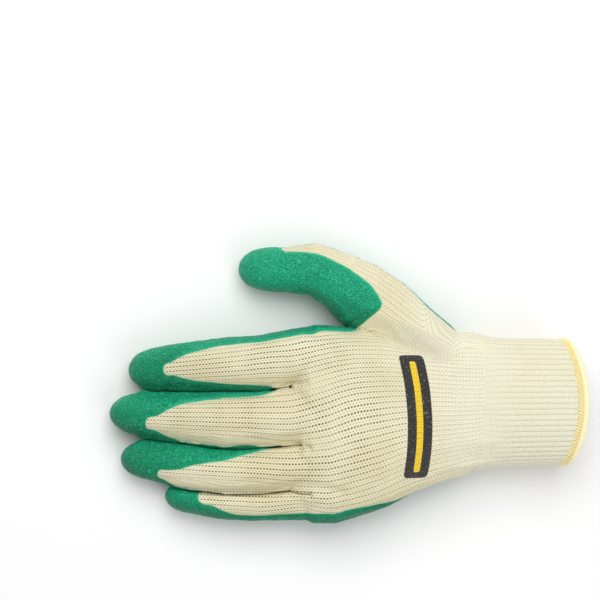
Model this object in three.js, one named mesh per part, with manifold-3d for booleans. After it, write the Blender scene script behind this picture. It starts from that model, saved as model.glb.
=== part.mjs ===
// Latex coated grip glove for the left hand, lying palm down.
// Units are millimetres. +X runs from the fingertips to the hem, +Y to the thumb, +Z up.
// A seamless knitted hand with five closed tubes is dipped, palm side, in latex.
// A ribbed cuff and an overlocked hem close it at the wrist.
import * as THREE from "three";
import { LoftGeometry } from "three/addons/geometries/LoftGeometry.js";
import { mergeVertices } from "three/addons/utils/BufferGeometryUtils.js";
import Module from "manifold-3d";

// Driving dimensions of the glove as worn
const GLOVE_LENGTH = 250; // middle fingertip to hem
const PALM_WIDTH = 104; // across the knuckles
const PALM_THICKNESS = 38; // back of the hand to the palm
const FINGER_WIDTH = 28.5; // middle finger at its root
const THUMB_WIDTH = 37; // thumb at its root
const CUFF_WIDTH = 69; // across the ribbed cuff
const CUFF_THICKNESS = 37; // height of the ribbed cuff as it lies
const CUFF_LENGTH = 49.5; // ribbed cuff, without the hem
const HEM_WIDTH = 5.5; // overlocked band along the glove's length
const HEM_THICKNESS = 3; // overlocked band, out from the arm
const HEM_BOW = 6; // how far the hem's back and palm reach past its sides

// Walls and clearances
const KNIT_WALL = 1.5;
const LATEX_WALL = 1.1;
const GAP = 0.3; // between touching pieces
const FINGER_SLIT = 0.6; // open gap between neighbouring fingers
const COAT = LATEX_WALL + GAP; // the coat's outer face, out from the knit
const LATEX_SINK = 1.2; // how far the bare part of a dip form lies under the knit

// Ribs of the cuff
const RIB_COUNT = 56;
const RIB_HEIGHT = 0.7;
const OVAL_STEPS = 16; // steps between two points of the cuff's oval, to measure round it

// Number of sides of a section
const DIGIT_SIDES = { coatedSides: 9, bareSides: 5 };
const PALM_SIDES = { coatedSides: 12, bareSides: 9 };

const LATEX_GREEN = 0x0a9c6a;
const KNIT_CREAM = 0xf0e7c4;
const CUFF_WHITE = 0xeeedd6;
const HEM_YELLOW = 0xf0dc98;

// The knitted hand runs from the cuff to the middle fingertip
const HAND_START = HEM_WIDTH + CUFF_LENGTH + 2 * GAP; // from the hem
const HAND_LENGTH = GLOVE_LENGTH - HAND_START;
const CUFF_ACROSS = -0.012; // middle of the cuff, as a share of PALM_WIDTH

const TURN = Math.PI * 2;
const radians = THREE.MathUtils.degToRad;
// Half the bare arc that a section's points keep where it is bare, or coated, all round
const BARE_ROUND_ARC = radians(150);
const COATED_ROUND_ARC = radians(42);

// Section tables, from the root of each form to its tip.
// along: share of HAND_LENGTH from the cuff. across: share of PALM_WIDTH, thumb side positive.
// half: half width over the coat, as a share of the form's own width.
// low, high: underside over the coat and bare back, as shares of PALM_THICKNESS from the floor.
// bare: middle of the uncoated arc in degrees, from straight up towards the thumb side.
// open: half of that arc. 0 is coated all round, 180 is bare all round.
const PALM_ROWS = [
  { along: 0, across: CUFF_ACROSS, half: 0.359, low: 0.02, high: 1.02, bare: 0, open: 180 },
  { along: 0.018, across: CUFF_ACROSS, half: 0.37, low: 0.01, high: 1.02, bare: 0, open: 152 },
  { along: 0.0586, across: -0.01, half: 0.392, low: 0.0, high: 1.02, bare: -2, open: 135 },
  { along: 0.1268, across: -0.04, half: 0.391, low: -0.02, high: 1.03, bare: -6, open: 108 },
  { along: 0.2078, across: -0.063, half: 0.42, low: -0.03, high: 1.03, bare: -3, open: 95 },
  { along: 0.285, across: -0.086, half: 0.463, low: -0.03, high: 1.02, bare: 5, open: 83 },
  { along: 0.3583, across: -0.103, half: 0.49, low: -0.02, high: 1.0, bare: 8, open: 77 },
  { along: 0.42, across: -0.118, half: 0.51, low: 0.0, high: 0.96, bare: 10, open: 75 },
  { along: 0.4689, across: -0.124, half: 0.5, low: 0.03, high: 0.88, bare: 12, open: 73 },
  { along: 0.4959, across: -0.126, half: 0.468, low: 0.08, high: 0.8, bare: 12, open: 73 },
  { along: 0.5165, across: -0.126, half: 0.42, low: 0.2, high: 0.64, bare: 12, open: 73 },
];

const INDEX_ROWS = [
  { along: 0.3056, across: 0.238, half: 0.48, low: 0.15, high: 0.8, bare: -12, open: 78 },
  { along: 0.4805, across: 0.231, half: 0.528, low: 0.1, high: 0.86, bare: -11, open: 75 },
  { along: 0.5885, across: 0.197, half: 0.516, low: 0.12, high: 0.82, bare: -8, open: 70 },
  { along: 0.6978, across: 0.189, half: 0.495, low: 0.11, high: 0.77, bare: -2, open: 58 },
  { along: 0.7659, across: 0.181, half: 0.47, low: 0.07, high: 0.69, bare: -2, open: 45 },
  { along: 0.8058, across: 0.175, half: 0.454, low: 0.04, high: 0.64, bare: -1, open: 34 },
  { along: 0.8367, across: 0.17, half: 0.435, low: 0.02, high: 0.6, bare: -2, open: 16 },
  { along: 0.8714, across: 0.165, half: 0.412, low: 0.0, high: 0.56, bare: -2, open: 0 },
  { along: 0.91, across: 0.157, half: 0.355, low: -0.01, high: 0.51, bare: -2, open: 0 },
  { along: 0.9357, across: 0.143, half: 0.25, low: 0.02, high: 0.44, bare: -2, open: 0 },
  { along: 0.9473, across: 0.14, half: 0.14, low: 0.1, high: 0.35, bare: -2, open: 0 },
];

const MIDDLE_ROWS = [
  { along: 0.3056, across: -0.066, half: 0.49, low: 0.15, high: 0.85, bare: 0, open: 90 },
  { along: 0.4805, across: -0.072, half: 0.541, low: 0.1, high: 0.9, bare: 0, open: 90 },
  { along: 0.5885, across: -0.0924, half: 0.514, low: 0.14, high: 0.86, bare: -1, open: 89 },
  { along: 0.6978, across: -0.0945, half: 0.521, low: 0.14, high: 0.82, bare: -8, open: 80 },
  { along: 0.8058, across: -0.081, half: 0.466, low: 0.07, high: 0.71, bare: -20, open: 69 },
  { along: 0.847, across: -0.076, half: 0.446, low: 0.04, high: 0.65, bare: -20, open: 45 },
  { along: 0.883, across: -0.071, half: 0.433, low: 0.02, high: 0.6, bare: -19, open: 18 },
  { along: 0.9177, across: -0.0635, half: 0.426, low: 0.0, high: 0.56, bare: -18, open: 0 },
  { along: 0.9614, across: -0.061, half: 0.345, low: -0.01, high: 0.5, bare: -18, open: 0 },
  { along: 0.9871, across: -0.058, half: 0.22, low: 0.02, high: 0.43, bare: -18, open: 0 },
  { along: 1, across: -0.056, half: 0.13, low: 0.1, high: 0.34, bare: -18, open: 0 },
];

const RING_ROWS = [
  { along: 0.3056, across: -0.3, half: 0.39, low: 0.13, high: 0.8, bare: 0, open: 90 },
  { along: 0.4805, across: -0.328, half: 0.405, low: 0.09, high: 0.82, bare: 0, open: 90 },
  { along: 0.5885, across: -0.35, half: 0.41, low: 0.12, high: 0.79, bare: -4, open: 86 },
  { along: 0.6978, across: -0.353, half: 0.41, low: 0.12, high: 0.74, bare: -22, open: 68 },
  { along: 0.7749, across: -0.336, half: 0.43, low: 0.07, high: 0.67, bare: -35, open: 55 },
  { along: 0.8174, across: -0.324, half: 0.42, low: 0.04, high: 0.62, bare: -44, open: 42 },
  { along: 0.8483, across: -0.311, half: 0.396, low: 0.02, high: 0.58, bare: -33, open: 19 },
  { along: 0.8843, across: -0.3, half: 0.38, low: 0.0, high: 0.54, bare: -30, open: 0 },
  { along: 0.9306, across: -0.287, half: 0.34, low: -0.01, high: 0.49, bare: -30, open: 0 },
  { along: 0.9576, across: -0.286, half: 0.22, low: 0.02, high: 0.42, bare: -30, open: 0 },
  { along: 0.9704, across: -0.284, half: 0.13, low: 0.1, high: 0.33, bare: -30, open: 0 },
];

const LITTLE_ROWS = [
  { along: 0.3056, across: -0.42, half: 0.33, low: 0.14, high: 0.62, bare: 20, open: 70 },
  { along: 0.4805, across: -0.505, half: 0.395, low: 0.05, high: 0.66, bare: 23, open: 67 },
  { along: 0.6142, across: -0.51, half: 0.365, low: 0.06, high: 0.62, bare: 16, open: 73 },
  { along: 0.6618, across: -0.508, half: 0.36, low: 0.05, high: 0.59, bare: 17, open: 71 },
  { along: 0.7055, across: -0.503, half: 0.35, low: 0.03, high: 0.56, bare: 23, open: 56 },
  { along: 0.7467, across: -0.492, half: 0.335, low: 0.01, high: 0.53, bare: 22, open: 28 },
  { along: 0.7788, across: -0.485, half: 0.325, low: 0.0, high: 0.51, bare: 22, open: 0 },
  { along: 0.8148, across: -0.476, half: 0.294, low: -0.01, high: 0.47, bare: 22, open: 0 },
  { along: 0.8405, across: -0.47, half: 0.22, low: 0.02, high: 0.4, bare: 22, open: 0 },
  { along: 0.8521, across: -0.468, half: 0.12, low: 0.09, high: 0.31, bare: 22, open: 0 },
];

const THUMB_ROWS = [
  { along: 0.0394, across: 0.165, half: 0.36, low: 0.18, high: 0.84, bare: 20, open: 75 },
  { along: 0.0998, across: 0.24, half: 0.41, low: 0.1, high: 0.9, bare: 20, open: 75 },
  { along: 0.1808, across: 0.345, half: 0.46, low: 0.07, high: 0.9, bare: 20, open: 75 },
  { along: 0.249, across: 0.437, half: 0.53, low: 0.05, high: 0.87, bare: 42, open: 55 },
  { along: 0.3223, across: 0.54, half: 0.51, low: 0.04, high: 0.82, bare: 56, open: 44 },
  { along: 0.3801, across: 0.613, half: 0.435, low: 0.03, high: 0.76, bare: 60, open: 40 },
  { along: 0.4483, across: 0.668, half: 0.4, low: 0.03, high: 0.68, bare: 64, open: 36 },
  { along: 0.5203, across: 0.662, half: 0.35, low: 0.01, high: 0.61, bare: 74, open: 24 },
  { along: 0.5473, across: 0.662, half: 0.34, low: 0.0, high: 0.58, bare: 76, open: 0 },
  { along: 0.6013, across: 0.664, half: 0.31, low: 0.0, high: 0.54, bare: 76, open: 0 },
  { along: 0.6348, across: 0.667, half: 0.225, low: 0.03, high: 0.48, bare: 76, open: 0 },
  { along: 0.6515, across: 0.669, half: 0.12, low: 0.11, high: 0.38, bare: 76, open: 0 },
];

// Creases between neighbouring fingers, thumb side first.
// crotch: share of HAND_LENGTH from the cuff. lean: how far the crease's top moves towards the
// thumb side, as a share of PALM_THICKNESS.
const CREASES = [
  { from: INDEX_ROWS, to: MIDDLE_ROWS, crotch: 0.5242, lean: 0 },
  { from: MIDDLE_ROWS, to: RING_ROWS, crotch: 0.4933, lean: 0 },
  { from: RING_ROWS, to: LITTLE_ROWS, crotch: 0.4702, lean: -0.2 },
];
const CREASE_STEPS = 6;

// Sections of the ribbed cuff, from the hem to the wrist.
// along: share of CUFF_LENGTH from the hem. half: half width, as a share of CUFF_WIDTH.
// low, high: underside and top, as shares of CUFF_THICKNESS from the knit's level.
const CUFF_ROWS = [
  { along: 0, half: 0.485, low: 0.06, high: 1.04 },
  { along: 0.45, half: 0.489, low: 0.035, high: 1.03 },
  { along: 1, half: 0.502, low: 0.035, high: 1.04 },
];

// Rings of the hem's outer face, from its free edge to the cuff.
// along: share of HEM_WIDTH. proud: share of the hem's own swell over the ribs.
// sunk: how far under the ribs' tops it lies, as a share of RIB_HEIGHT.
const HEM_ROWS = [
  { along: 0, proud: 0, sunk: 1 },
  { along: 0.3, proud: 1, sunk: 0 },
  { along: 0.75, proud: 1, sunk: 0 },
  { along: 1, proud: 0, sunk: 0.5 },
];

const PALM_POWER = 2.35; // squareness of the palm's sections, where 2 is an oval
const DIGIT_POWER = 2.1;
const LEAST_HALF = 0.2; // half width that the smallest section of an inner face keeps
const MERGE_DISTANCE = 1e-4; // points this close are one

const wasm = await Module();
wasm.setup();

function toSolid(geometry) {
  const bare = geometry.index ? geometry.toNonIndexed() : geometry.clone();
  bare.deleteAttribute("normal");
  bare.deleteAttribute("uv");
  const merged = mergeVertices(bare, MERGE_DISTANCE);
  const mesh = new wasm.Mesh({
    numProp: 3,
    vertProperties: new Float32Array(merged.attributes.position.array),
    triVerts: new Uint32Array(merged.index.array),
  });
  return new wasm.Manifold(mesh);
}

function toGeometry(solid) {
  const mesh = solid.getMesh();
  const geometry = new THREE.BufferGeometry();
  geometry.setAttribute("position", new THREE.BufferAttribute(mesh.vertProperties, 3));
  geometry.setIndex(new THREE.BufferAttribute(mesh.triVerts, 1));
  geometry.computeVertexNormals();
  return geometry;
}

function joined(solids) {
  return solids.reduce((whole, piece) => whole.add(piece));
}

// The side of a section, on a squared oval. The angle is from straight down to the thumb side.
function onOval(angle, halfWidth, halfHeight, power) {
  const across = Math.sin(angle);
  const up = -Math.cos(angle);
  return [
    Math.sign(across) * Math.pow(Math.abs(across), 2 / power) * halfWidth,
    Math.sign(up) * Math.pow(Math.abs(up), 2 / power) * halfHeight,
  ];
}

// The place along X of a share of the hand's length
function levelAt(along) {
  return -HAND_START - along * HAND_LENGTH;
}

// One row of a table in millimetres, with the level direction across the form there
function placed(form) {
  const rows = form.rows.map((row) => ({
    centre: new THREE.Vector3(
      levelAt(row.along),
      row.across * PALM_WIDTH,
      ((row.low + row.high) / 2) * PALM_THICKNESS + COAT / 2,
    ),
    halfWidth: row.half * form.width - COAT,
    halfHeight: ((row.high - row.low) / 2) * PALM_THICKNESS - COAT / 2,
    bare: radians(row.bare),
    open: radians(row.open),
    coatedAllRound: row.open === 0,
    bareAllRound: row.open === 180,
  }));
  rows.forEach((row, i) => {
    const before = rows[Math.max(i - 1, 0)].centre;
    const after = rows[Math.min(i + 1, rows.length - 1)].centre;
    const heading = after.clone().sub(before).setZ(0).normalize();
    row.side = new THREE.Vector3(heading.y, -heading.x, 0);
  });
  return rows;
}

// A ring of points on a row, moved out by grows[k] at its k-th angle
function sectionRing(row, angles, grows, power) {
  return angles.map((angle, k) => {
    const [across, up] = onOval(
      angle,
      Math.max(row.halfWidth + grows[k], LEAST_HALF),
      Math.max(row.halfHeight + grows[k], LEAST_HALF),
      power,
    );
    return row.centre.clone().addScaledVector(row.side, across).add(new THREE.Vector3(0, 0, up));
  });
}

// The tip of an offset form moves out, or in, along the form by the same distance.
// Tables give the tip over the coat, so the knit's own tip lies under it.
// lead adds a section that far out from the root, to cut right through a wall there.
function lengthened(rows, grow, lead) {
  const last = rows[rows.length - 1];
  const beforeLast = rows[rows.length - 2];
  const heading = last.centre.clone().sub(beforeLast.centre).setZ(0).normalize();
  const moved = rows.map((row) => {
    const centre = row.centre.clone();
    if (row === last || row === beforeLast) {
      centre.addScaledVector(heading, grow - COAT);
    }
    return { ...row, centre };
  });
  if (lead > 0) {
    const outward = rows[0].centre.clone().sub(rows[1].centre).setZ(0).normalize();
    moved.unshift({ ...moved[0], centre: moved[0].centre.clone().addScaledVector(outward, lead) });
  }
  return moved;
}

function loft(rings) {
  return toSolid(new LoftGeometry(rings, { closed: true, capStart: true, capEnd: true }));
}

// The angles of a section's points, shared by the knit and the coat so that their sides are
// parallel: even steps over the coated arc, then even steps over the bare arc.
// Where one of the two arcs is missing, it keeps a usual width, and its points stay in step.
function sectionAngles(form, row) {
  const spread = row.bareAllRound ? BARE_ROUND_ARC : COATED_ROUND_ARC;
  const open = row.coatedAllRound || row.bareAllRound ? spread : row.open;
  const start = Math.PI + row.bare + open;
  const coatedStep = (TURN - 2 * open) / (form.coatedSides - 1);
  const bareStep = (2 * open) / (form.bareSides + 1);
  return Array.from({ length: form.coatedSides + form.bareSides }, (_, k) => {
    const coated = Math.min(k, form.coatedSides - 1);
    return -(start + coated * coatedStep + (k - coated) * bareStep);
  });
}

// A plain form of the hand, grown by one distance all round
function plainForm(form, grow, lead) {
  const rows = lengthened(placed(form), grow, lead);
  return loft(
    rows.map((row) => {
      const angles = sectionAngles(form, row);
      return sectionRing(row, angles, angles.map(() => grow), form.power);
    }),
  );
}

// The same form, proud of the knit where it is coated and sunk under it where it is bare
function dippedForm(form, proud) {
  const rows = lengthened(placed(form), proud, 0);
  return loft(
    rows.map((row) => {
      const angles = sectionAngles(form, row);
      const coated = row.bareAllRound ? -LATEX_SINK : proud;
      const bare = row.coatedAllRound ? proud : -LATEX_SINK;
      const grows = angles.map((_, k) => (k < form.coatedSides ? coated : bare));
      return sectionRing(row, angles, grows, form.power);
    }),
  );
}

// A column of a table at any distance along the glove
function rowValue(rows, along, column) {
  const i = THREE.MathUtils.clamp(rows.findIndex((row) => row.along > along), 1, rows.length - 1);
  const before = rows[i - 1];
  const share = THREE.MathUtils.clamp((along - before.along) / (rows[i].along - before.along), 0, 1);
  return THREE.MathUtils.lerp(before[column], rows[i][column], share);
}

// The edge of a finger on its thumb side (1) or little side (-1), in millimetres
function fingerEdge(rows, along, direction) {
  const centre = rowValue(rows, along, "across") * PALM_WIDTH;
  return centre + direction * rowValue(rows, along, "half") * FINGER_WIDTH;
}

// The line between two fingers on the glove's plan, from the crotch to past the shorter tip.
// There it draws clear of the longer finger. depth takes it further into the hand.
function creaseLine(crease, depth) {
  const tips = [crease.from, crease.to].map((rows) => rows[rows.length - 1].along);
  const shorter = Math.min(...tips);
  const centres = Array.from({ length: CREASE_STEPS + 1 }, (_, k) => {
    const along = THREE.MathUtils.lerp(crease.crotch, shorter, k / CREASE_STEPS);
    const thumbSide = fingerEdge(crease.from, along, -1);
    const littleSide = fingerEdge(crease.to, along, 1);
    return new THREE.Vector3(levelAt(along), (thumbSide + littleSide) / 2, 0);
  });
  const clear = Math.sign(tips[1] - tips[0]);
  const longer = clear > 0 ? crease.to : crease.from;
  const pastEdge = fingerEdge(longer, shorter, clear) + clear * KNIT_SLIT;
  centres.push(new THREE.Vector3(levelAt(shorter) - FINGER_WIDTH / 2, pastEdge, 0));
  const into = centres[0].clone().sub(centres[1]).normalize();
  centres[0].addScaledVector(into, depth);
  return centres;
}

// An upright slab along a crease, from one level distance across it to another
function creaseSlab(crease, width, near, far) {
  const top = 2 * PALM_THICKNESS;
  const lean = crease.lean * PALM_THICKNESS;
  return loft(
    creaseLine(crease, width / 2).map(({ x, y }) => [
      new THREE.Vector3(x, y + near + 2 * lean, top),
      new THREE.Vector3(x, y + far + 2 * lean, top),
      new THREE.Vector3(x, y + far - lean, -top / 2),
      new THREE.Vector3(x, y + near - lean, -top / 2),
    ]),
  );
}

// What lies between the fingers is open to a width, and no finger passes its own creases
function separated(palm, digits, width) {
  const half = width / 2;
  const fingers = digits.map((finger, i) => {
    const thumbSide = CREASES[i - 1];
    const littleSide = i < CREASES.length ? CREASES[i] : undefined;
    let clear = finger;
    if (thumbSide) {
      clear = clear.subtract(creaseSlab(thumbSide, width, -half, PALM_WIDTH));
    }
    if (littleSide) {
      clear = clear.subtract(creaseSlab(littleSide, width, -PALM_WIDTH, half));
    }
    return clear;
  });
  const slits = CREASES.map((crease) => creaseSlab(crease, width, -half, half));
  return joined([palm.subtract(joined(slits)), ...fingers]);
}

// A block larger than the glove, with its middle at a point
const BLOCK_SIZE = 3 * GLOVE_LENGTH;
function block(x, y, z) {
  const shape = new THREE.BoxGeometry(BLOCK_SIZE, BLOCK_SIZE, BLOCK_SIZE);
  shape.translate(x, y, z);
  return toSolid(shape);
}

// Everything below a level, to flatten what rests on the floor
function below(level) {
  return block(0, 0, level - BLOCK_SIZE / 2);
}

// Everything that lies further towards the hem than the hand's open end, moved by lead
function pastWrist(lead) {
  return block(lead - HAND_START + BLOCK_SIZE / 2, 0, 0);
}

const PALM = {
  rows: PALM_ROWS,
  width: PALM_WIDTH,
  power: PALM_POWER,
  ...PALM_SIDES,
};

function digit(rows, width) {
  return { rows, width, power: DIGIT_POWER, ...DIGIT_SIDES };
}

const DIGITS = [
  digit(INDEX_ROWS, FINGER_WIDTH),
  digit(MIDDLE_ROWS, FINGER_WIDTH),
  digit(RING_ROWS, FINGER_WIDTH),
  digit(LITTLE_ROWS, FINGER_WIDTH),
  digit(THUMB_ROWS, THUMB_WIDTH),
];
const FORMS = [PALM, ...DIGITS];

// The knit lies a coat's thickness and a gap above the floor
const KNIT_LEVEL = COAT;
const KNIT_SLIT = FINGER_SLIT + 2 * COAT;

// All forms as one, with the thumb joined on last
function handOf(makeForm, slitWidth) {
  const [palm, ...digits] = FORMS.map(makeForm);
  const thumb = digits.pop();
  return separated(palm, digits, slitWidth).add(thumb);
}

// The hand's outer face moved out, or in, by one distance, and flattened underneath.
// lead lengthens it at the wrist.
function handSolid(grow, lead) {
  const makeForm = (form) => plainForm(form, grow, form === PALM ? lead : 0);
  return handOf(makeForm, KNIT_SLIT - 2 * grow)
    .subtract(below(KNIT_LEVEL - grow))
    .subtract(pastWrist(lead));
}

function knitLiner() {
  return handSolid(0, 0).subtract(handSolid(-KNIT_WALL, 2 * KNIT_WALL));
}

function latexCoating() {
  return handOf((form) => dippedForm(form, COAT), FINGER_SLIT)
    .subtract(below(0))
    .subtract(pastWrist(0))
    .subtract(handSolid(GAP, 2 * COAT));
}

// Angles that space a number of points evenly round the cuff's oval
function evenAngles(count) {
  const steps = OVAL_STEPS * count;
  const pointAt = (i) => {
    const angle = (i * TURN) / steps;
    return new THREE.Vector2(...onOval(angle, CUFF_WIDTH / 2, CUFF_THICKNESS / 2, DIGIT_POWER));
  };
  const lengths = [0];
  for (let i = 1; i <= steps; i += 1) {
    lengths.push(lengths[i - 1] + pointAt(i).distanceTo(pointAt(i - 1)));
  }
  return Array.from({ length: count }, (_, k) => {
    const wanted = (k / count) * lengths[steps];
    return (lengths.findIndex((length) => length >= wanted) * TURN) / steps;
  });
}

// One oval across the cuff at a distance from the hem, bowed along the arm.
// Every second point is in a furrow between two ribs.
function cuffRing(distance, row, grow, angles, furrow, bow) {
  const halfWidth = row.half * CUFF_WIDTH + grow;
  const halfHeight = ((row.high - row.low) / 2) * CUFF_THICKNESS + grow;
  const middle = ((row.high + row.low) / 2) * CUFF_THICKNESS + KNIT_LEVEL;
  return angles.map((angle, k) => {
    const depth = (k % 2) * furrow;
    const [across, up] = onOval(angle, halfWidth - depth, halfHeight - depth, DIGIT_POWER);
    const reach = -bow * Math.sin(angle) ** 2;
    return new THREE.Vector3(-distance + reach, CUFF_ACROSS * PALM_WIDTH + across, middle + up);
  });
}

// A band round the arm, from its outer rings and its inner rings, both hem first.
// It is lofted round the arm, through one profile of the wall at each angle.
function band(outer, inner) {
  const profiles = outer[0].map((_, k) => [
    ...outer.map((ring) => ring[k]),
    ...inner.map((ring) => ring[k]).reverse(),
  ]);
  profiles.push(profiles[0]);
  return toSolid(new LoftGeometry(profiles, { closed: true, capStart: false, capEnd: false }));
}

// The cuff starts inside the hem's width, a gap away
function ribCuff() {
  const start = HEM_WIDTH + GAP;
  const angles = evenAngles(2 * RIB_COUNT);
  const ringsAt = (grow, furrow) =>
    CUFF_ROWS.map((row) => {
      const bow = HEM_BOW * (1 - row.along);
      return cuffRing(start + row.along * CUFF_LENGTH, row, grow, angles, furrow, bow);
    });
  const inner = ringsAt(-KNIT_WALL - RIB_HEIGHT, 0);
  return band(ringsAt(0, RIB_HEIGHT), [inner[0], inner[inner.length - 1]]);
}

function cuffHem() {
  const angles = evenAngles(RIB_COUNT);
  const ringAt = (at, grow) => cuffRing(at, CUFF_ROWS[0], grow, angles, 0, HEM_BOW);
  const swell = (HEM_THICKNESS - KNIT_WALL) / 2;
  const outer = HEM_ROWS.map((row) => {
    return ringAt(row.along * HEM_WIDTH, row.proud * swell - row.sunk * RIB_HEIGHT);
  });
  const inside = -KNIT_WALL - RIB_HEIGHT;
  return band(outer, [ringAt(0, inside), ringAt(HEM_WIDTH, inside)]);
}

function named(name, solid, color, roughness) {
  const material = new THREE.MeshStandardMaterial({ color, roughness, metalness: 0 });
  const mesh = new THREE.Mesh(toGeometry(solid), material);
  mesh.name = name;
  return mesh;
}

const glove = new THREE.Group();
glove.add(named("knit_liner", knitLiner(), KNIT_CREAM, 0.95));
glove.add(named("latex_coating", latexCoating(), LATEX_GREEN, 0.55));
glove.add(named("rib_cuff", ribCuff(), CUFF_WHITE, 0.95));
glove.add(named("cuff_hem", cuffHem(), HEM_YELLOW, 0.9));

// The origin is the middle of the glove's footprint, on the floor
const bounds = new THREE.Box3().setFromObject(glove);
const middle = bounds.getCenter(new THREE.Vector3());
glove.position.set(-middle.x, -middle.y, -bounds.min.z);

export default glove;
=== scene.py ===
"""Latex coated grip glove: the surfaces of the knit, the coat, the ribbed cuff and the hem."""

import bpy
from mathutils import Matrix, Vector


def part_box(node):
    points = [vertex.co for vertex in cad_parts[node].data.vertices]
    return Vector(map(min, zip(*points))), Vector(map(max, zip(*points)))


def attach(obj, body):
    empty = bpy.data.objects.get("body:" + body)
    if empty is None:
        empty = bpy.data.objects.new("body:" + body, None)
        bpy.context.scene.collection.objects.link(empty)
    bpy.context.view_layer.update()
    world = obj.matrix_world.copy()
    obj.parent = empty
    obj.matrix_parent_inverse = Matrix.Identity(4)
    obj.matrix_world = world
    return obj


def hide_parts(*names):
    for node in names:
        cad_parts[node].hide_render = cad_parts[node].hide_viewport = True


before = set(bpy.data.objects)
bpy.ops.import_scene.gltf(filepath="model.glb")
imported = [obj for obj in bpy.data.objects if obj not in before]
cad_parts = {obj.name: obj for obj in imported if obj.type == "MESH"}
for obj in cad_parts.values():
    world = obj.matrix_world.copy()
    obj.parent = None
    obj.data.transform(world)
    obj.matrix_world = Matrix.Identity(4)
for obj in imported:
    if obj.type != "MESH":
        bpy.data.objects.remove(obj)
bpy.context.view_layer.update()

import math
import random

import bmesh
import bpy
import numpy as np
from mathutils import Vector
from mathutils.bvhtree import BVHTree
from mathutils.noise import noise

MM = 0.001
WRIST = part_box("knit_liner")[1].x  # open end of the knitted hand
CUFF_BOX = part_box("rib_cuff")
HEM_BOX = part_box("cuff_hem")
KNIT_GRID = 0.74 * MM  # spacing of the liner's surface points
LATEX_GRID = 1.0 * MM
SKIN_SMOOTHING = 4.6 * MM  # how far the smoothing of the hand's solid reaches
TIP_SMOOTHING = 6.0 * MM  # the same again, for the ends of the digits alone
EDGE_SMOOTHING = 2.4 * MM  # the same for the edge of the coat
TIP_FULL = 14  # mm round a digit's tip, on the plan, that are rounded in full
TIP_END = 24  # mm round it where the rounding has faded out
PULL = 0.5  # share of the way to its neighbours that a point moves in a round of smoothing
PUSH_BACK = 0.52  # share that it then moves back, so that nothing shrinks
BLEND = 0.6  # share of the way in a round, for values that are blended over the surface
ROUND_SPREAD = 0.3  # square of how far a round of averaging spreads a value, in grid steps
SLEEVE = 10 * MM  # added at the wrist while the hand is smoothed, then cut off
SLIT_REACH = 6 * MM  # fingers closer than this swell towards each other
COATED_SLIT = 2.3 * MM  # and leave this between them, which the coat fills
BARE_SLIT = 0.2 * MM  # or this, where they are bare
SLIT_SWELL = 1.8 * MM
SLIT_END = -18 * MM  # slits are looked for from here to the fingertips
SLIT_SIDE = 26 * MM  # and up to here across the hand, short of the thumb
SWELL_ROUNDS = 5  # of averaging, that soften the swelling
HIDDEN_SHARE = 0.14  # of the liner's faces under the coat, that are kept
INSIDE_SHARE = 0.05  # of the skin's faces, that the inner face keeps
KNIT_WALL = 1.4 * MM
LATEX_PROUD = 1.0 * MM  # outer face of the coat over the knit
LATEX_SUNK = -0.7 * MM  # where the coat's edge dives into the knit
LATEX_THIN_RISE = 0.25 * MM  # a little way in from the edge
COAT_END = 0.25  # share of cover at which the coat's surface ends, inside the knit
COAT_SURFACING = (0.34, 0.5)  # shares of cover between which it comes up out of the knit
COAT_FILLING = (0.48, 0.92)  # and between which it reaches its full height
STITCHES_FADING = (0.3, 0.55)  # and between which the knit's stitches go flat
HIDDEN_COVER = 0.95  # over this share the knit isn't seen
LATEX_WALL = 0.8 * MM
COAT_DEPTH = 1.5 * MM  # the coat's solid is looked for from this far under the skin
COAT_REACH = 1.7 * MM  # to this far over it

# Stitches: holes in rows along the fingers, a bold row and a faint row in turn
ROW_PITCH = 3.0 * MM
COURSE = 1.65 * MM
ROW_RELIEF = 0.16 * MM

# Ribbed cuff
RIB_COUNT = 56
RIB_POINTS = 8
RIB_RELIEF = 0.34 * MM
CUFF_RINGS = 76
HEM_BOW = 6 * MM  # how far the hem's back and palm reach past its sides
CUFF_LAP = 1.2 * MM  # how far the cuff's first rings lie over the hand's end

# Overlocked hem, in mm: points of its section as (from the free edge, out from the cuff's ribs)
HEM_SECTION = [
    (1.1, -2.0), (0.4, -1.7), (0.0, -0.9), (0.1, -0.1), (0.5, 0.45), (1.2, 0.75), (2.0, 0.75),
    (2.7, 0.4), (3.1, -0.1), (4.2, 0.0), (5.4, 0.0), (6.2, -0.2), (6.6, -0.7), (6.0, -2.0),
    (4.0, -2.1), (2.2, -2.1),
]
HEM_SIDES = 224
HEM_THREADS = 104
THREAD_RADIUS = 0.5
THREAD_SLANT = 1.4  # how far a thread runs round the arm while it crosses the hem, in pitches
THREAD_START = 2.7  # where a thread starts, in mm from the free edge
THREAD_SPAN = 3.9  # how far it reaches along the arm, in mm
HEM_SWELL = 0.75 * MM  # how far the hem's lip stands out from the cuff's ribs
CUFF_COURSE = 1.35 * MM

# Fingers on the plan, in mm: middle of the back at the root and near the tip, the half widths
# there, and where along X the crotch on the thumb side is
FINGERS = [
    {"root": (-24.8, 14.5), "tip": (-107.3, 6.8), "half": (15.0, 10.1), "crotch": -30.0},
    {"root": (-23.8, -17.0), "tip": (-117.3, -15.8), "half": (15.4, 9.8), "crotch": -30.0},
    {"root": (-23.8, -43.6), "tip": (-111.3, -39.4), "half": (11.6, 9.7), "crotch": -24.0},
    {"root": (-23.8, -62.0), "tip": (-88.8, -59.0), "half": (11.3, 8.4), "crotch": -22.0},
]
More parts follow.
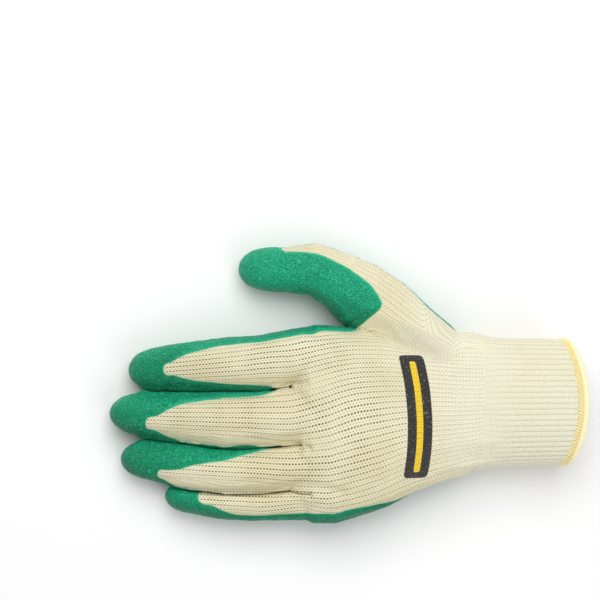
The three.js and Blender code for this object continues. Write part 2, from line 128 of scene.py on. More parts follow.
# The thumb on the plan, in mm: points of its axis with the axis height and the half width
THUMB_LINE = [
    {"at": (74.7, -1.9), "height": 19.5, "half": 14.5},
    {"at": (50.2, 15.5), "height": 19.5, "half": 14.5},
    {"at": (34.4, 26.4), "height": 19.1, "half": 16.2},
    {"at": (21.1, 35.9), "height": 18.2, "half": 18.2},
    {"at": (6.9, 46.7), "height": 17.0, "half": 17.5},
    {"at": (-4.3, 54.2), "height": 15.7, "half": 14.8},
    {"at": (-17.6, 60.0), "height": 14.2, "half": 13.4},
    {"at": (-31.6, 59.3), "height": 12.5, "half": 11.6},
    {"at": (-47.3, 59.6), "height": 11.0, "half": 10.1},
]
THUMB_START = 49.7  # row distance of the thumb's axis, in mm
THUMB_ALONG = 80  # course distance where the thumb's axis starts, in mm
# Heights of the axes over the floor, and from an axis to the back, in mm
FINGER_AXIS = 17
FINGER_RISE = 14.0
PALM_AXIS = 19
PALM_RISE = 19.0
THUMB_RISE = 12.5
# Places between the fingers and at the thumb's root where the coat stays off the back, in mm:
# what lies within reach of a line on the plan and above a height
BARE_SPOTS = [
    {"start": (28, 36), "end": (15, 19), "reach": 10.5, "above": 14},
    {"start": (26, 34.4), "end": (10.7, 20.7), "reach": 10.5, "above": 14},
    {"start": (-34, -2.0), "end": (-20, -1.0), "reach": 5.0, "above": 14},
    {"start": (-31, -31.6), "end": (-18, -33.0), "reach": 4.6, "above": 14},
    {"start": (-60, -42.5), "end": (-36, -37.5), "reach": 4.2, "above": 20},
    {"start": (-60, -60.6), "end": (-8, -60.5), "reach": 7.4, "above": 11},
    {"start": (-75, -59.6), "end": (-62, -60.5), "reach": 3.6, "above": 11},
]
# The palm's middle and half width along X, in mm
PALM_LINE = [
    {"x": -30.0, "middle": -22.6, "half": 50.6},
    {"x": -12.0, "middle": -21.8, "half": 51.6},
    {"x": 0.0, "middle": -20.2, "half": 49.6},
    {"x": 14.0, "middle": -18.4, "half": 46.8},
    {"x": 29.0, "middle": -16.0, "half": 42.0},
    {"x": 45.0, "middle": -13.7, "half": 39.4},
    {"x": 70.0, "middle": -10.8, "half": 36.0},
]
# How the rows on the back sweep towards the thumb side behind the knuckles, in mm
SWEEP_IN = (-36, 4)  # where along X the sweep sets in
SWEEP_OUT = (8, 74)  # and where it fades out
SWEEP_HIGH = 9.5
SWEEP_MIDDLE = -4  # where across the hand it is highest
SWEEP_SPREAD = 34
SWEEP_DROP = 2.0
# The print on the back: a bar across the hand, bowed towards the cuff
PRINT_X = 34.9 * MM
PRINT_Y = -17.4 * MM
PRINT_BOW_Y = -25.3 * MM  # where across the hand it lies nearest to the cuff
PRINT_BOW = 2.7  # metres that it bows back for each square metre of the distance from there
PRINT_WIDTH = 13.0 * MM
PRINT_LENGTH = 64.0 * MM
# Grooves pressed into the surface, in mm on the plan. A negative depth raises a ridge.
# side is 1 on the back, -1 on the palm.
DENTS = [
    {"start": (-33, -3.2), "end": (-14, 8.4), "depth": 1.0, "width": 3.0, "side": 1},
    {"start": (-35, -3.2), "end": (-24, 0.5), "depth": 1.1, "width": 1.3, "side": 1},
    {"start": (-27, -32.6), "end": (-22.6, -33.8), "depth": 1.8, "width": 1.6, "side": 1},
    {"start": (-23, -33.6), "end": (-10, -36), "depth": 0.7, "width": 4.0, "side": 1},
    {"start": (-24, -53.2), "end": (-6, -56.5), "depth": 1.4, "width": 3.2, "side": 1},
    {"start": (-25, 48), "end": (-14, 43), "depth": 1.3, "width": 2.2, "side": 1},
    {"start": (-2, 32.8), "end": (9, 39.4), "depth": -0.8, "width": 1.5, "side": 1},
    {"start": (-5, -68), "end": (-14, -30), "depth": 0.7, "width": 1.3, "side": -1},
    {"start": (-14, -30), "end": (-22, 4), "depth": 0.7, "width": 1.3, "side": -1},
    {"start": (-10, 25), "end": (10, -12), "depth": 0.7, "width": 1.3, "side": -1},
    {"start": (10, -12), "end": (24, -50), "depth": 0.6, "width": 1.3, "side": -1},
    {"start": (-5, 28), "end": (18, 6), "depth": 0.8, "width": 1.4, "side": -1},
    {"start": (18, 6), "end": (52, -2), "depth": 0.7, "width": 1.4, "side": -1},
]
# Creases across the palm side of each finger, as shares of the way from root to tip
JOINT_SHARES = (0.1, 0.46, 0.74)
JOINT_DEPTH = 0.7
JOINT_WIDTH = 1.1


def shape_of(mesh):
    shape = bmesh.new()
    shape.from_mesh(mesh)
    return shape


def merged_copy(node):
    """A node's mesh with the points of its loose triangles joined."""
    shape = shape_of(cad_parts[node].data)
    bmesh.ops.remove_doubles(shape, verts=shape.verts, dist=0.002 * MM)
    return shape


def island_of(face):
    """All faces joined to a face."""
    found = {face}
    waiting = [face]
    while waiting:
        for edge in waiting.pop().edges:
            for other in edge.link_faces:
                if other not in found:
                    found.add(other)
                    waiting.append(other)
    return found


def height_of(faces):
    levels = [v.co.z for face in faces for v in face.verts]
    return max(levels) - min(levels)


def closed_outside():
    """The hand's outer face from its hollow solid, lengthened at the wrist and closed there."""
    shape = merged_copy("knit_liner")
    rim = [
        face for face in shape.faces
        if face.normal.x > 0.99 and face.calc_center_median().x > WRIST - 0.2 * MM
    ]
    bmesh.ops.delete(shape, geom=rim, context="FACES_ONLY")
    islands = []
    left = set(shape.faces)
    while left:
        island = island_of(next(iter(left)))
        islands.append(island)
        left -= island
    outside = max(islands, key=height_of)
    inside = [face for face in shape.faces if face not in outside]
    bmesh.ops.delete(shape, geom=inside, context="FACES")
    ends = [edge for edge in shape.edges if edge.is_boundary]
    sleeve = bmesh.ops.extrude_edge_only(shape, edges=ends)["geom"]
    moved = [v for v in sleeve if isinstance(v, bmesh.types.BMVert)]
    bmesh.ops.translate(shape, verts=moved, vec=(SLEEVE, 0, 0))
    open_edges = [edge for edge in shape.edges if edge.is_boundary]
    bmesh.ops.holes_fill(shape, edges=open_edges, sides=0)
    bmesh.ops.recalc_face_normals(shape, faces=shape.faces)
    return shape


def to_object(name, shape):
    mesh = bpy.data.meshes.new(name)
    shape.to_mesh(mesh)
    shape.free()
    obj = bpy.data.objects.new(name, mesh)
    bpy.context.scene.collection.objects.link(obj)
    return obj


def baked(obj):
    """Applies an object's modifiers to its mesh."""
    graph = bpy.context.evaluated_depsgraph_get()
    mesh = bpy.data.meshes.new_from_object(obj.evaluated_get(graph))
    obj.modifiers.clear()
    obj.data = mesh
    return obj


def remeshed(obj, grid):
    remesh = obj.modifiers.new("even", "REMESH")
    remesh.mode = "VOXEL"
    remesh.voxel_size = grid
    return baked(obj)


def points_of(mesh):
    flat = np.empty(len(mesh.vertices) * 3)
    mesh.vertices.foreach_get("co", flat)
    return flat.reshape(-1, 3)


def normals_of(mesh):
    flat = np.empty(len(mesh.vertices) * 3)
    mesh.vertices.foreach_get("normal", flat)
    return flat.reshape(-1, 3)


def put_points(mesh, points):
    mesh.vertices.foreach_set("co", points.ravel())
    mesh.update()


def edges_of(mesh):
    flat = np.empty(len(mesh.edges) * 2, dtype=np.int64)
    mesh.edges.foreach_get("vertices", flat)
    return flat.reshape(-1, 2)


def averaged(values, edges, share):
    """Moves each value towards the mean of its neighbours by a share."""
    count = len(values)
    ends = np.concatenate([edges[:, 0], edges[:, 1]])
    others = np.concatenate([edges[:, 1], edges[:, 0]])
    degree = np.maximum(np.bincount(ends, minlength=count), 1)
    mean = np.empty_like(values)
    for column in range(values.shape[1]):
        mean[:, column] = np.bincount(ends, values[others, column], minlength=count) / degree
    return values + share * (mean - values)


def relaxed(values, edges, rounds):
    """Smooths values without shrinking them."""
    for _ in range(rounds):
        values = averaged(values, edges, PULL)
        values = averaged(values, edges, -PUSH_BACK)
    return values


def smooth_step(low, high, value):
    t = np.clip((value - low) / (high - low), 0, 1)
    return t * t * (3 - 2 * t)


def rounds_of(reach, grid):
    """How many rounds of averaging spread a value that far."""
    return round((reach / grid) ** 2 / ROUND_SPREAD)


def tips_rounded(points, edges, grid):
    """Rounds the ends of the digits. Their size stays, as the even part of the loss is kept."""
    tips = [finger["tip"] for finger in FINGERS] + [THUMB_LINE[-1]["at"]]
    plan = points[:, :2] / MM
    away = np.min([np.linalg.norm(plan - tip, axis=1) for tip in tips], axis=0)
    share = 1 - smooth_step(TIP_FULL, TIP_END, away)
    flatter = points
    for _ in range(rounds_of(TIP_SMOOTHING, grid)):
        flatter = averaged(flatter, edges, PULL)
    loss = points - flatter
    even_loss = loss
    for _ in range(rounds_of(TIP_SMOOTHING, grid)):
        even_loss = averaged(even_loss, edges, PULL)
    return points + share[:, None] * (even_loss - loss)


def hand_skin(grid):
    """The hand's surface as one even, smooth mesh, open at the wrist."""
    skin = remeshed(to_object("skin", closed_outside()), grid)
    edges = edges_of(skin.data)
    points = relaxed(points_of(skin.data), edges, rounds_of(SKIN_SMOOTHING, grid))
    put_points(skin.data, tips_rounded(points, edges, grid))
    shape = shape_of(skin.data)
    geometry = shape.verts[:] + shape.edges[:] + shape.faces[:]
    bmesh.ops.bisect_plane(
        shape, geom=geometry, plane_co=(WRIST, 0, 0), plane_no=(1, 0, 0), clear_outer=True
    )
    shape.to_mesh(skin.data)
    shape.free()
    fingers_closed(skin)
    dented(skin)
    return skin


def in_bare_spots(points):
    """Which points are in the places that the coat stays off."""
    plan = points[:, :2] / MM
    found = np.zeros(len(points), bool)
    for spot in BARE_SPOTS:
        near = from_segment(plan, spot["start"], spot["end"]) < spot["reach"]
        found |= near & (points[:, 2] > spot["above"] * MM)
    return found


def fingers_closed(skin):
    """Swells neighbouring fingers towards each other until little more than the coat fits."""
    tree = tree_of(shape_of(skin.data))
    points, normals = points_of(skin.data), normals_of(skin.data)
    swell = np.zeros((len(points), 1))
    left = np.where(in_bare_spots(points), BARE_SLIT, COATED_SLIT)
    level = np.abs(normals[:, 2]) < 0.9
    among_fingers = (points[:, 0] < SLIT_END) & (points[:, 1] < SLIT_SIDE)
    for index in np.flatnonzero(level & among_fingers):
        start = points[index] + normals[index] * 0.1 * MM
        distance = tree.ray_cast(start, normals[index], SLIT_REACH)[3]
        if distance:
            swell[index] = np.clip((distance - left[index]) / 2, 0, SLIT_SWELL)
    edges = edges_of(skin.data)
    for _ in range(SWELL_ROUNDS):
        swell = averaged(swell, edges, BLEND)
    put_points(skin.data, points + normals * swell)


def from_segment(plan, start, end):
    """Distance on the plan from a straight line between two points."""
    start, end = np.array(start, float), np.array(end, float)
    along = end - start
    share = np.clip(((plan - start) @ along) / (along @ along), 0, 1)
    return np.linalg.norm(plan - start - share[:, None] * along, axis=1)


def joint_dents():
    for finger in FINGERS:
        root, tip = np.array(finger["root"]), np.array(finger["tip"])
        for share in JOINT_SHARES:
            middle = root + share * (tip - root)
            half = np.interp(share, (0, 1), finger["half"]) * 0.8
            yield {
                "start": (middle[0], middle[1] - half),
                "end": (middle[0], middle[1] + half),
                "depth": JOINT_DEPTH,
                "width": JOINT_WIDTH,
                "side": -1,
            }


def dented(skin):
    points, normals = points_of(skin.data), normals_of(skin.data)
    plan = points[:, :2] / MM
    for dent in DENTS + list(joint_dents()):
        away = from_segment(plan, dent["start"], dent["end"])
        facing = smooth_step(0.05, 0.5, normals[:, 2] * dent["side"])
        depth = dent["depth"] * MM * np.exp(-((away / dent["width"]) ** 2)) * facing
        points -= normals * depth[:, None]
    put_points(skin.data, points)


def tree_of(shape):
    tree = BVHTree.FromBMesh(shape)
    shape.free()
    return tree


def coated_share(skin, grid):
    """1 where latex covers a point, 0 where it is bare, with a soft edge a few mm wide."""
    coat = tree_of(merged_copy("latex_coating"))
    points, normals = points_of(skin.data), normals_of(skin.data)
    starts = points - normals * COAT_DEPTH
    reach = COAT_DEPTH + COAT_REACH
    covered = [
        coat.ray_cast(start, normal, reach)[0] is not None
        for start, normal in zip(starts, normals)
    ]
    share = (np.array(covered) & ~in_bare_spots(points)).astype(float)[:, None]
    edges = edges_of(skin.data)
    for _ in range(rounds_of(EDGE_SMOOTHING, grid)):
        share = averaged(share, edges, BLEND)
    return share[:, 0]


def side_arc(across, up, half, rise):
    """Distance round an oval from its top, for a place at across, up from its middle."""
    turns = np.linspace(0, math.pi, 181)
    flatness = rise / half.mean()
    steps = np.hypot(np.cos(turns), flatness * np.sin(turns)) * (turns[1] - turns[0])
    lengths = np.concatenate([[0], np.cumsum(steps)[:-1]])
    aside = np.abs(across) / half
    on_top = np.arcsin(np.clip(aside, 0, 1))
    by_height = np.arctan2(aside, up / rise)
    at_side = np.where(up > 0, smooth_step(0.7, 0.98, aside), 1)
    angle = on_top + at_side * (by_height - on_top)
    return np.sign(across) * half * np.interp(angle, turns, lengths)


def finger_rows(points, finger):
    """Across-the-rows distance on a finger, and how far off its middle each point is."""
    root, tip = np.array(finger["root"]), np.array(finger["tip"])
    share = (points[:, 0] - root[0]) / (tip[0] - root[0])
    half = np.maximum(np.interp(share, (0, 1), finger["half"]), 1)
    across = points[:, 1] - (root[1] + share * (tip[1] - root[1]))
    arc = side_arc(across, points[:, 2] - FINGER_AXIS, half, FINGER_RISE)
    return root[1] + arc * finger["half"][0] / half, np.abs(across) / half


def palm_rows(points):
    """Across-the-rows distance on the palm: rows sweep up from the knuckles, then level out."""
    xs = [row["x"] for row in PALM_LINE]
    middle = np.interp(points[:, 0], xs, [row["middle"] for row in PALM_LINE])
    half = np.interp(points[:, 0], xs, [row["half"] for row in PALM_LINE])
    sweep = smooth_step(*SWEEP_IN, points[:, 0]) * (1 - smooth_step(*SWEEP_OUT, points[:, 0]))
    aside = (points[:, 1] - SWEEP_MIDDLE) / SWEEP_SPREAD
    reach = SWEEP_HIGH * np.exp(-(aside ** 2)) - SWEEP_DROP
    across = points[:, 1] - middle - sweep * reach
    arc = side_arc(across, points[:, 2] - PALM_AXIS, half, PALM_RISE)
    return PALM_LINE[0]["middle"] + arc * PALM_LINE[0]["half"] / half


def thumb_rows(points):
    """Across-the-rows distance on the thumb, and the distance along it."""
    line = np.array([row["at"] for row in THUMB_LINE])
    lengths = np.concatenate([[0], np.cumsum(np.linalg.norm(np.diff(line, axis=0), axis=1))])
    nearest = np.full(len(points), np.inf)
    across, along = np.zeros(len(points)), np.zeros(len(points))
    for start, end, passed in zip(line[:-1], line[1:], lengths):
        step = end - start
        length = np.linalg.norm(step)
        off = points[:, :2] - start
        share = np.clip(off @ step / length ** 2, 0, 1)
        away = np.linalg.norm(off - share[:, None] * step, axis=1)
        closer = away < nearest
        side = np.sign(off[:, 1] * -step[0] + off[:, 0] * step[1])
        nearest = np.where(closer, away, nearest)
        across = np.where(closer, side * away, across)
        along = np.where(closer, passed + share * length, along)
    half = np.interp(along, lengths, [row["half"] for row in THUMB_LINE])
    height = np.interp(along, lengths, [row["height"] for row in THUMB_LINE])
    arc = side_arc(across, points[:, 2] - height, half, THUMB_RISE)
    return THUMB_START + arc * THUMB_LINE[3]["half"] / half, along


def stitch_places(points, normals):
    """Row and course number of the stitch at each point, and how open the knit is there."""
    points = points / MM
    x, y = points[:, 0], points[:, 1]
    rows = palm_rows(points)
    found = [finger_rows(points, finger) for finger in FINGERS]
    within = points - 4 * normals
    nearest = np.argmin([finger_rows(within, finger)[1] for finger in FINGERS], axis=0)
    for number, (finger, (own_rows, _)) in enumerate(zip(FINGERS, found)):
        in_finger = 1 - smooth_step(finger["crotch"] - 26, finger["crotch"] + 2, x)
        in_finger = in_finger * (nearest == number)
        rows = rows + in_finger * (own_rows - rows)
    own_rows, own_along = thumb_rows(points)
    low = np.interp(x, (-25, 0, 45), (30, 26, 10))
    on_thumb = smooth_step(low, low + 16, y) * (1 - smooth_step(36, 60, x))
    rows = rows + on_thumb * (own_rows - rows)
    along = x + on_thumb * (THUMB_ALONG - own_along - x)
    off_middle = np.choose(nearest, [off for _, off in found])
    open_finger = 1 - smooth_step(0.35, 1.0, off_middle) * smooth_step(0, -20, x)
    open_palm = 1 - 0.75 * smooth_step(0, 45, x + 0.5 * np.abs(y + 20))
    turning = 4 * on_thumb * (1 - on_thumb)
    openness = open_finger * open_palm * (1 - 0.6 * on_thumb) * (1 - 0.85 * turning)
    return np.column_stack([rows * MM / ROW_PITCH, along * MM / COURSE, openness])


def set_attribute(mesh, name, vectors):
    layer = mesh.attributes.new(name, "FLOAT_VECTOR", "POINT")
    layer.data.foreach_set("vector", np.ascontiguousarray(vectors, dtype=np.float32).ravel())


def lumps(points, size, seed):
    """Smooth noise from -1 to 1 at a size in mm."""
    scale = 1 / (size * MM)
    return np.array([noise(Vector(point) * scale + Vector((seed, seed, 0))) for point in points])


def covered_shape(skin, coated):
    """The skin's mesh, each point with its share of cover by the coat."""
    shape = shape_of(skin.data)
    share = shape.verts.layers.float.new("coated")
    for vert, value in zip(shape.verts, coated):
        vert[share] = value
    return shape


def cover_of(mesh):
    cover = np.empty(len(mesh.vertices), dtype=np.float32)
    mesh.attributes["coated"].data.foreach_get("value", cover)
    return cover


def with_wall(obj, thickness):
    """Gives a surface a wall, inwards."""
    wall = obj.modifiers.new("wall", "SOLIDIFY")
    wall.thickness = thickness
    wall.offset = -1
    return baked(obj)


def inner_face(skin):
    """A coarser copy of the skin, a wall's thickness in."""
    obj = bpy.data.objects.new("inner_face", skin.data.copy())
    bpy.context.scene.collection.objects.link(obj)
    thin = obj.modifiers.new("thin", "DECIMATE")
    thin.ratio = INSIDE_SHARE
    baked(obj)
    put_points(obj.data, points_of(obj.data) - normals_of(obj.data) * KNIT_WALL)
    return obj


def walled(obj, skin):
    """Gives the liner its inner face, joined to the outer one at the wrist.

    Returns 1 for each point of the outer face and 0 for each of the inner one.
    """
    shape = shape_of(obj.data)
    outer_count = len(shape.verts)
    inside = inner_face(skin)
    shape.from_mesh(inside.data)
    bpy.data.objects.remove(inside)
    rims = [edge for edge in shape.edges if edge.is_boundary]
    bmesh.ops.bridge_loops(shape, edges=rims)
    bmesh.ops.recalc_face_normals(shape, faces=shape.faces)
    shape.to_mesh(obj.data)
    shape.free()
    return (np.arange(len(obj.data.vertices)) < outer_count).astype(float)


def knit_surface(skin, coated):
    """The liner: fine and stitched where bare, coarse under the coat, with an inner face."""
    shape = covered_shape(skin, coated)
    bmesh.ops.triangulate(shape, faces=shape.faces)
    obj = to_object("knit_liner_stitched", shape)
    hidden = np.flatnonzero(coated > HIDDEN_COVER)
    obj.vertex_groups.new(name="hidden").add(hidden.tolist(), 1.0, "REPLACE")
    thin = obj.modifiers.new("thin", "DECIMATE")
    thin.ratio = 1 - (1 - HIDDEN_SHARE) * len(hidden) / len(coated)
    thin.vertex_group = "hidden"
    baked(obj)
    obj.vertex_groups.clear()
    outside = walled(obj, skin)
    points, normals = points_of(obj.data), normals_of(obj.data)
    places = stitch_places(points, normals)
    coated_now = cover_of(obj.data)
    ridge = np.abs(np.sin(math.pi * places[:, 0])) - 0.6
    fade = outside * (1 - smooth_step(*STITCHES_FADING, coated_now))
    end = smooth_step(WRIST - 1 * MM, WRIST - 8 * MM, points[:, 0])
    relief = ridge * ROW_RELIEF * (0.15 + 0.85 * places[:, 2])
    lift = (relief + 0.1 * MM * lumps(points, 9, 3)) * fade * end
    put_points(obj.data, points + normals * lift[:, None])
    set_attribute(obj.data, "stitch", places)
    # Painted shade: how far each point faces away from the light, towards -Y
    lower_side_shade = smooth_step(0.1, 0.9, -normals[:, 1])
    set_attribute(obj.data, "cover_and_shade_side", np.column_stack([coated_now * outside, fade, lower_side_shade]))
    return obj


def latex_surface(skin, coated):
    """The coat: proud of the knit, thinner towards its edge, which dives into the knit."""
    shape = covered_shape(skin, coated)
    bare = [v for v, value in zip(shape.verts, coated) if value < COAT_END]
    bmesh.ops.delete(shape, geom=bare, context="VERTS")
    loose = [v for v in shape.verts if not v.link_faces]
    bmesh.ops.delete(shape, geom=loose, context="VERTS")
    obj = to_object("latex_coat_crinkled", shape)
    points, normals = points_of(obj.data), normals_of(obj.data)
    kept = cover_of(obj.data)
    rise = LATEX_SUNK + (LATEX_THIN_RISE - LATEX_SUNK) * smooth_step(*COAT_SURFACING, kept)
    rise += (LATEX_PROUD - LATEX_THIN_RISE) * smooth_step(*COAT_FILLING, kept)
    thick = smooth_step(0.6, 0.95, kept)
    crinkle = 0.18 * lumps(points, 2.4, 5) + 0.12 * lumps(points, 7, 8)
    lift = rise + crinkle * MM * (0.25 + 0.75 * thick)
    points = points + normals * lift[:, None]
    points[:, 2] = np.maximum(points[:, 2], 0.0)
    put_points(obj.data, points)
    # The third value is how far each point faces away from the light, for the coat's painted shade and
    # painted light
    set_attribute(obj.data, "cover_and_shade_side", np.column_stack([kept, thick, -normals[:, 1]]))
    return with_wall(obj, LATEX_WALL)


def new_material(name):
    material = bpy.data.materials.new(name)
    material.use_nodes = True
    material.node_tree.nodes.clear()
    return material


class Nodes:
    """Short calls for building one material's nodes."""

    def __init__(self, material):
        self.tree = material.node_tree

    def add(self, kind, **settings):
        node = self.tree.nodes.new(kind)
        for key, value in settings.items():
            setattr(node, key, value)
        return node

    def link(self, value, socket):
        if isinstance(value, bpy.types.NodeSocket):
            self.tree.links.new(value, socket)
        else:
            socket.default_value = value

    def math(self, operation, *values, clamp=False):
        node = self.add("ShaderNodeMath", operation=operation, use_clamp=clamp)
        for value, socket in zip(values, node.inputs):
            self.link(value, socket)
        return node.outputs[0]

    def parts(self, vector):
        node = self.add("ShaderNodeSeparateXYZ")
        self.link(vector, node.inputs[0])
        return node.outputs

    def attribute(self, name):
        return self.parts(self.add("ShaderNodeAttribute", attribute_name=name).outputs["Vector"])

    def place(self):
        return self.add("ShaderNodeTexCoord").outputs["Object"]

    def noise(self, size, detail=2.0, distortion=0.0):
        """Noise from 0 to 1 with features of a size in metres."""
        node = self.add("ShaderNodeTexNoise")
        self.link(self.place(), node.inputs["Vector"])
        node.inputs["Scale"].default_value = 1 / size
        node.inputs["Detail"].default_value = detail
        node.inputs["Distortion"].default_value = distortion
        return node.outputs["Fac"]

    def mix(self, share, low, high):
        node = self.add("ShaderNodeMix", data_type="RGBA")
        self.link(share, node.inputs["Factor"])
        self.link(low, node.inputs[6])
        self.link(high, node.inputs[7])
        return node.outputs[2]

    def span(self, value, low, high, to_low=0.0, to_high=1.0):
        """Runs smoothly from to_low at low to to_high at high."""
        node = self.add("ShaderNodeMapRange", interpolation_type="SMOOTHSTEP")
        for key, number in zip(("Value", "From Min", "From Max", "To Min", "To Max"),
                               (value, low, high, to_low, to_high)):
            self.link(number, node.inputs[key])
        return node.outputs[0]

    def bump(self, height, distance, strength=1.0, under=None):
        node = self.add("ShaderNodeBump")
        node.inputs["Strength"].default_value = strength
        node.inputs["Distance"].default_value = distance
        self.link(height, node.inputs["Height"])
        if under:
            self.link(under, node.inputs["Normal"])
        return node.outputs[0]

    def surface(self, color, roughness, normal, **settings):
        shader = self.add("ShaderNodeBsdfPrincipled")
        self.link(color, shader.inputs["Base Color"])
        self.link(roughness, shader.inputs["Roughness"])
        self.link(normal, shader.inputs["Normal"])
        for key, value in settings.items():
            shader.inputs[key.replace("_", " ")].default_value = value
        output = self.add("ShaderNodeOutputMaterial")
        self.link(shader.outputs[0], output.inputs["Surface"])


def rgb(red, green, blue):
    """A colour from its 0 to 255 display values."""
    def linear(level):
        level = level / 255
        return level / 12.92 if level <= 0.04045 else ((level + 0.055) / 1.055) ** 2.4
    return (linear(red), linear(green), linear(blue), 1.0)


KNIT_CREAM = rgb(237, 231, 200)
KNIT_SHADE = rgb(226, 218, 180)
# Painted shade colour for the knit's sides turned away from the light
KNIT_PAINTED_SHADE = rgb(214, 203, 148)
# Painted shade of the hollow, seen through the knit's holes
KNIT_HOLE_SHADE = rgb(106, 92, 56)
COAT_STAIN = rgb(150, 205, 170)
LATEX_GREEN = rgb(0, 160, 112)
LATEX_DEEP = rgb(0, 138, 96)
# Painted shade and painted light colours for the coat
LATEX_PAINTED_SHADE = rgb(0, 98, 66)
LATEX_PAINTED_LIGHT = rgb(36, 202, 154)
# Painted highlight colour for the crinkle's ridges
LATEX_PAINTED_HIGHLIGHT = rgb(62, 208, 160)
# Painted sheen colour for the coat where it turns away from the view
LATEX_PAINTED_SHEEN = rgb(126, 180, 156)
LATEX_THIN = rgb(170, 214, 184)
CUFF_CREAM = rgb(240, 237, 211)
# Painted shade colour for the furrows between the cuff's ribs
CUFF_FURROW_SHADE = rgb(186, 180, 140)
HEM_PALE = rgb(249, 240, 200)
HEM_YELLOW = rgb(248, 236, 180)
HEM_SHADE = rgb(246, 230, 174)
# Painted shade colour for the band under the hem's threads
HEM_GAP_SHADE = rgb(228, 206, 142)
PRINT_DARK = rgb(42, 42, 44)
PRINT_YELLOW = rgb(242, 206, 40)


def hole_mask(n, row, course, wide, long):
    """1 in the middle of each hole of a grid of holes, falling to 0."""
    off_row = n.math("SUBTRACT", n.math("FRACT", row), 0.5)
    off_course = n.math("SUBTRACT", n.math("FRACT", course), 0.5)
    far = n.math("ADD", n.math("POWER", n.math("DIVIDE", off_row, wide), 2.0),
                 n.math("POWER", n.math("DIVIDE", off_course, long), 2.0))
    return n.span(far, 1.0, 0.0)


def bar_mask(n, across, along, half_width, half_length):
    """1 inside a bar with rounded corners, 0 outside."""
    far = n.math("ADD", n.math("POWER", n.math("ABSOLUTE", n.math("DIVIDE", across, half_width)), 6.0),
                 n.math("POWER", n.math("ABSOLUTE", n.math("DIVIDE", along, half_length)), 40.0))
    return n.span(far, 1.25, 0.8)


def loop_legs(n, row, course):
    """The slanted legs of the knit's loops, from -1 to 1."""
    column = n.math("FRACT", n.math("MULTIPLY", row, 2.0))
    slant = n.math("ABSOLUTE", n.math("SUBTRACT", column, 0.5))
    return n.math("SINE", n.math("MULTIPLY", n.math("ADD", course, slant), 2 * math.pi))


def fluff(n):
    """The fine fluff of spun yarn, as bump."""
    return n.bump(n.noise(0.0006, 3.0), 0.00015, 0.6)


def printed(n, color, place, holes):
    """A plain dark bar with one stripe, stamped across the back and bowed with it."""
    x, y, z = place
    off = n.math("ADD", y, -PRINT_BOW_Y)
    middle = n.math("SUBTRACT", PRINT_X, n.math("MULTIPLY", n.math("MULTIPLY", off, off), PRINT_BOW))
    across = n.math("SUBTRACT", x, middle)
    along = n.math("SUBTRACT", y, PRINT_Y)
    ink = n.span(n.noise(0.0012, 2.0), 0.25, 0.4, 0.75, 1.0)
    on_back = n.span(z, 0.016, 0.018)
    bar = bar_mask(n, across, along, PRINT_WIDTH / 2, PRINT_LENGTH / 2)
    stripe = bar_mask(n, across, along, PRINT_WIDTH * 0.13, PRINT_LENGTH * 0.45)
    ink = n.math("MULTIPLY", n.math("MULTIPLY", ink, on_back), bar)
    tone = n.mix(stripe, PRINT_DARK, PRINT_YELLOW)
    # The holes' painted shade shows through the print
    tone = n.mix(n.math("MULTIPLY", holes, 0.6), tone, KNIT_HOLE_SHADE)
    return n.mix(ink, color, tone)


def knit_material():
    material = new_material("cream_knit")
    n = Nodes(material)
    row, course, openness = n.attribute("stitch")
    soak, _, lower_side_shade = n.attribute("cover_and_shade_side")
    wobble = n.math("MULTIPLY", n.math("SUBTRACT", n.noise(0.004, 1.0), 0.5), 0.12)
    row = n.math("ADD", row, wobble)
    bold = hole_mask(n, n.math("ADD", row, 0.5), course, 0.23, 0.45)
    faint = hole_mask(n, row, n.math("ADD", course, 0.5), 0.16, 0.34)
    patches = n.span(n.noise(0.012, 2.0), 0.35, 0.65)
    spread = n.math("ADD", n.math("MULTIPLY", patches, 0.5), 0.6)
    open_here = n.math("MULTIPLY", openness, spread, clamp=True)
    # Painted shade in the holes, darker where the knit is opened up
    bold_tone = n.math("ADD", n.math("MULTIPLY", open_here, 0.75), 0.2)
    faint_tone = n.math("ADD", n.math("MULTIPLY", open_here, 0.4), 0.14)
    dark = n.math("MULTIPLY", bold, bold_tone)
    dark = n.math("ADD", dark, n.math("MULTIPLY", faint, faint_tone), clamp=True)
    cream = n.mix(n.span(n.noise(0.03, 3.0), 0.3, 0.7), KNIT_CREAM, KNIT_SHADE)
    thread = n.span(n.noise(0.0009, 3.0), 0.3, 0.8, 0.0, 0.35)
    cream = n.mix(thread, cream, KNIT_SHADE)
    place = n.parts(n.place())
    cream = n.mix(n.span(place[0], 0.015, 0.066, 0.0, 0.85), cream, CUFF_CREAM)
    # Painted shade: the sides turned away from the light are tinted darker olive
    cream = n.mix(n.math("MULTIPLY", lower_side_shade, 0.3), cream, KNIT_PAINTED_SHADE)
    # The holes' painted shade is fainter towards the wrist
    dark = n.math("MULTIPLY", dark, n.span(place[0], 0.03, 0.068, 1.0, 0.45))
    color = n.mix(dark, cream, KNIT_HOLE_SHADE)
    color = printed(n, color, place, dark)
    stained = n.math("MULTIPLY", n.span(soak, 0.3, 0.55), 0.8)
    color = n.mix(stained, color, COAT_STAIN)
    legs = loop_legs(n, row, course)
    wales = n.math("ABSOLUTE", n.math("SINE", n.math("MULTIPLY", row, 2 * math.pi)))
    height = n.math("ADD", n.math("MULTIPLY", wales, 0.5), n.math("MULTIPLY", legs, 0.25))
    height = n.math("SUBTRACT", height, n.math("ADD", bold, n.math("MULTIPLY", faint, 0.6)))
    normal = n.bump(height, 0.0003, 0.8, fluff(n))
    n.surface(color, 0.92, normal, Sheen_Weight=0.25, Sheen_Roughness=0.6, Specular_IOR_Level=0.2)
    return material


